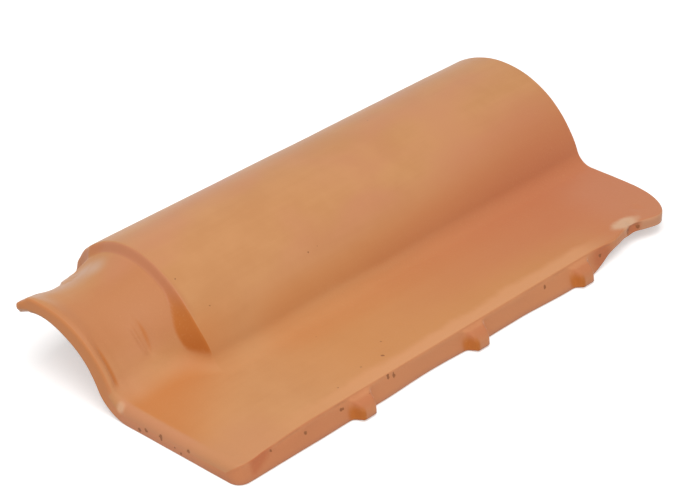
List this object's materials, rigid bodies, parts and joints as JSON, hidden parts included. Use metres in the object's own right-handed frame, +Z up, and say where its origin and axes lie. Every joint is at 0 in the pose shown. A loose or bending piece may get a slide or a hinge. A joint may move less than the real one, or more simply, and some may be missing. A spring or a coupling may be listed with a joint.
{
  "type": "clay roof tile",
  "caption": "Mixed clay roof tile with a half-round barrel, a flat pan, a stepped neck at the head, a lapping lip at the tail and side lugs.",
  "frame": {"origin": "middle of the tile's box, on the plane that it lies on", "axes": "+Y from the head's neck to the tail, +X from the barrel to the pan, +Z up, away from the roof"},
  "size_m": [0.2384, 0.43, 0.071],
  "materials": {
    "clay": "matte"
  },
  "bodies": {
    "root": {"roof_tile": "clay"}
  },
  "joints": []
}
